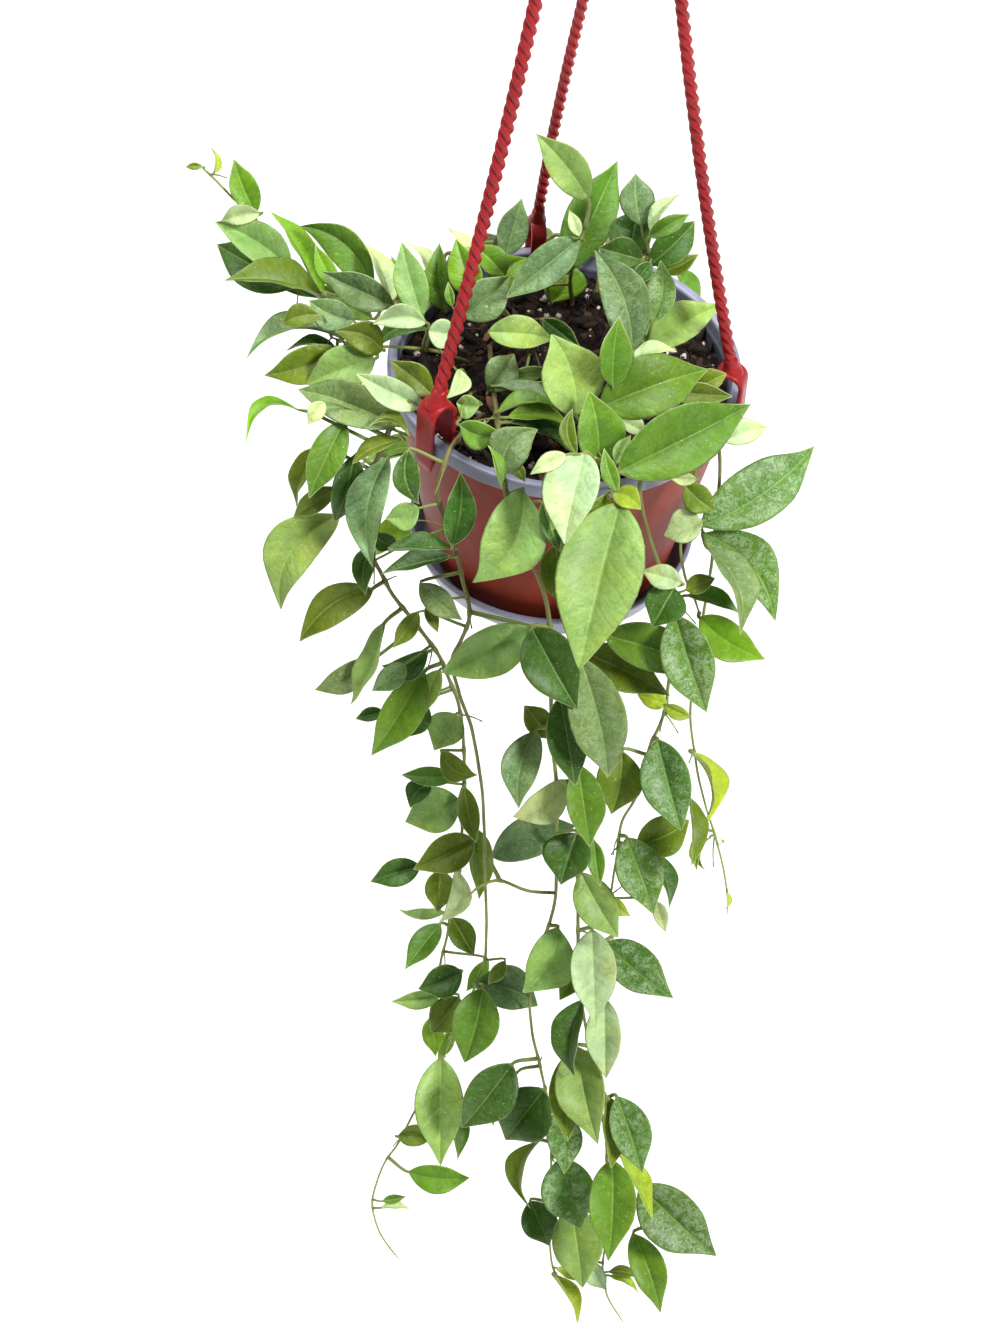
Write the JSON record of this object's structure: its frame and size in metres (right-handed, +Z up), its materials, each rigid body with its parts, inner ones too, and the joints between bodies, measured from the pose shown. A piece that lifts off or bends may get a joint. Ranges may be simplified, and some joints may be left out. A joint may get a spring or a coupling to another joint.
{
  "type": "potted hoya lacunosa",
  "caption": "Hanging pot with a trailing hoya lacunosa: small pointed leaves on cord-like vines over the rim, twisted hanger arms clipped to the rim and joined under a hook.",
  "frame": {"origin": "where the hook bears on what carries it, above the middle of the pot", "axes": "+Z up along the pot's axis; -Y towards the side with the long vines, which the picture shows; +X to its right"},
  "size_m": [0.2747, 0.2658, 0.9917],
  "materials": {
    "pot": "satin",
    "saucer": "satin",
    "mix": "matte, crumbly",
    "hanger": "satin",
    "leaf": "waxy leaf, soft sheen"
  },
  "bodies": {
    "root": {"pot": "pot", "drip_saucer": "saucer", "potting_mix": "mix", "hanger_hook": "hanger", "hanger_arm_1": "hanger", "hanger_arm_2": "hanger", "hanger_arm_3": "hanger", "shoot_upper_left": "leaf", "spray_left_back": "leaf", "spray_left": "leaf", "vine_left_long": "leaf", "vine_left_front": "leaf", "vine_centre": "leaf", "vine_centre_right": "leaf", "vine_right_front": "leaf", "vine_right": "leaf", "vine_far_right": "leaf", "spray_top_right": "leaf", "spray_top_centre": "leaf", "spray_back_left": "leaf", "spray_middle": "leaf", "spray_centre": "leaf", "spray_right": "leaf", "spray_front_right": "leaf", "spray_front_left": "leaf", "vine_back_right": "leaf", "vine_back_1": "leaf", "vine_back_2": "leaf", "vine_back_3": "leaf", "vine_back_left": "leaf"}
  },
  "joints": []
}
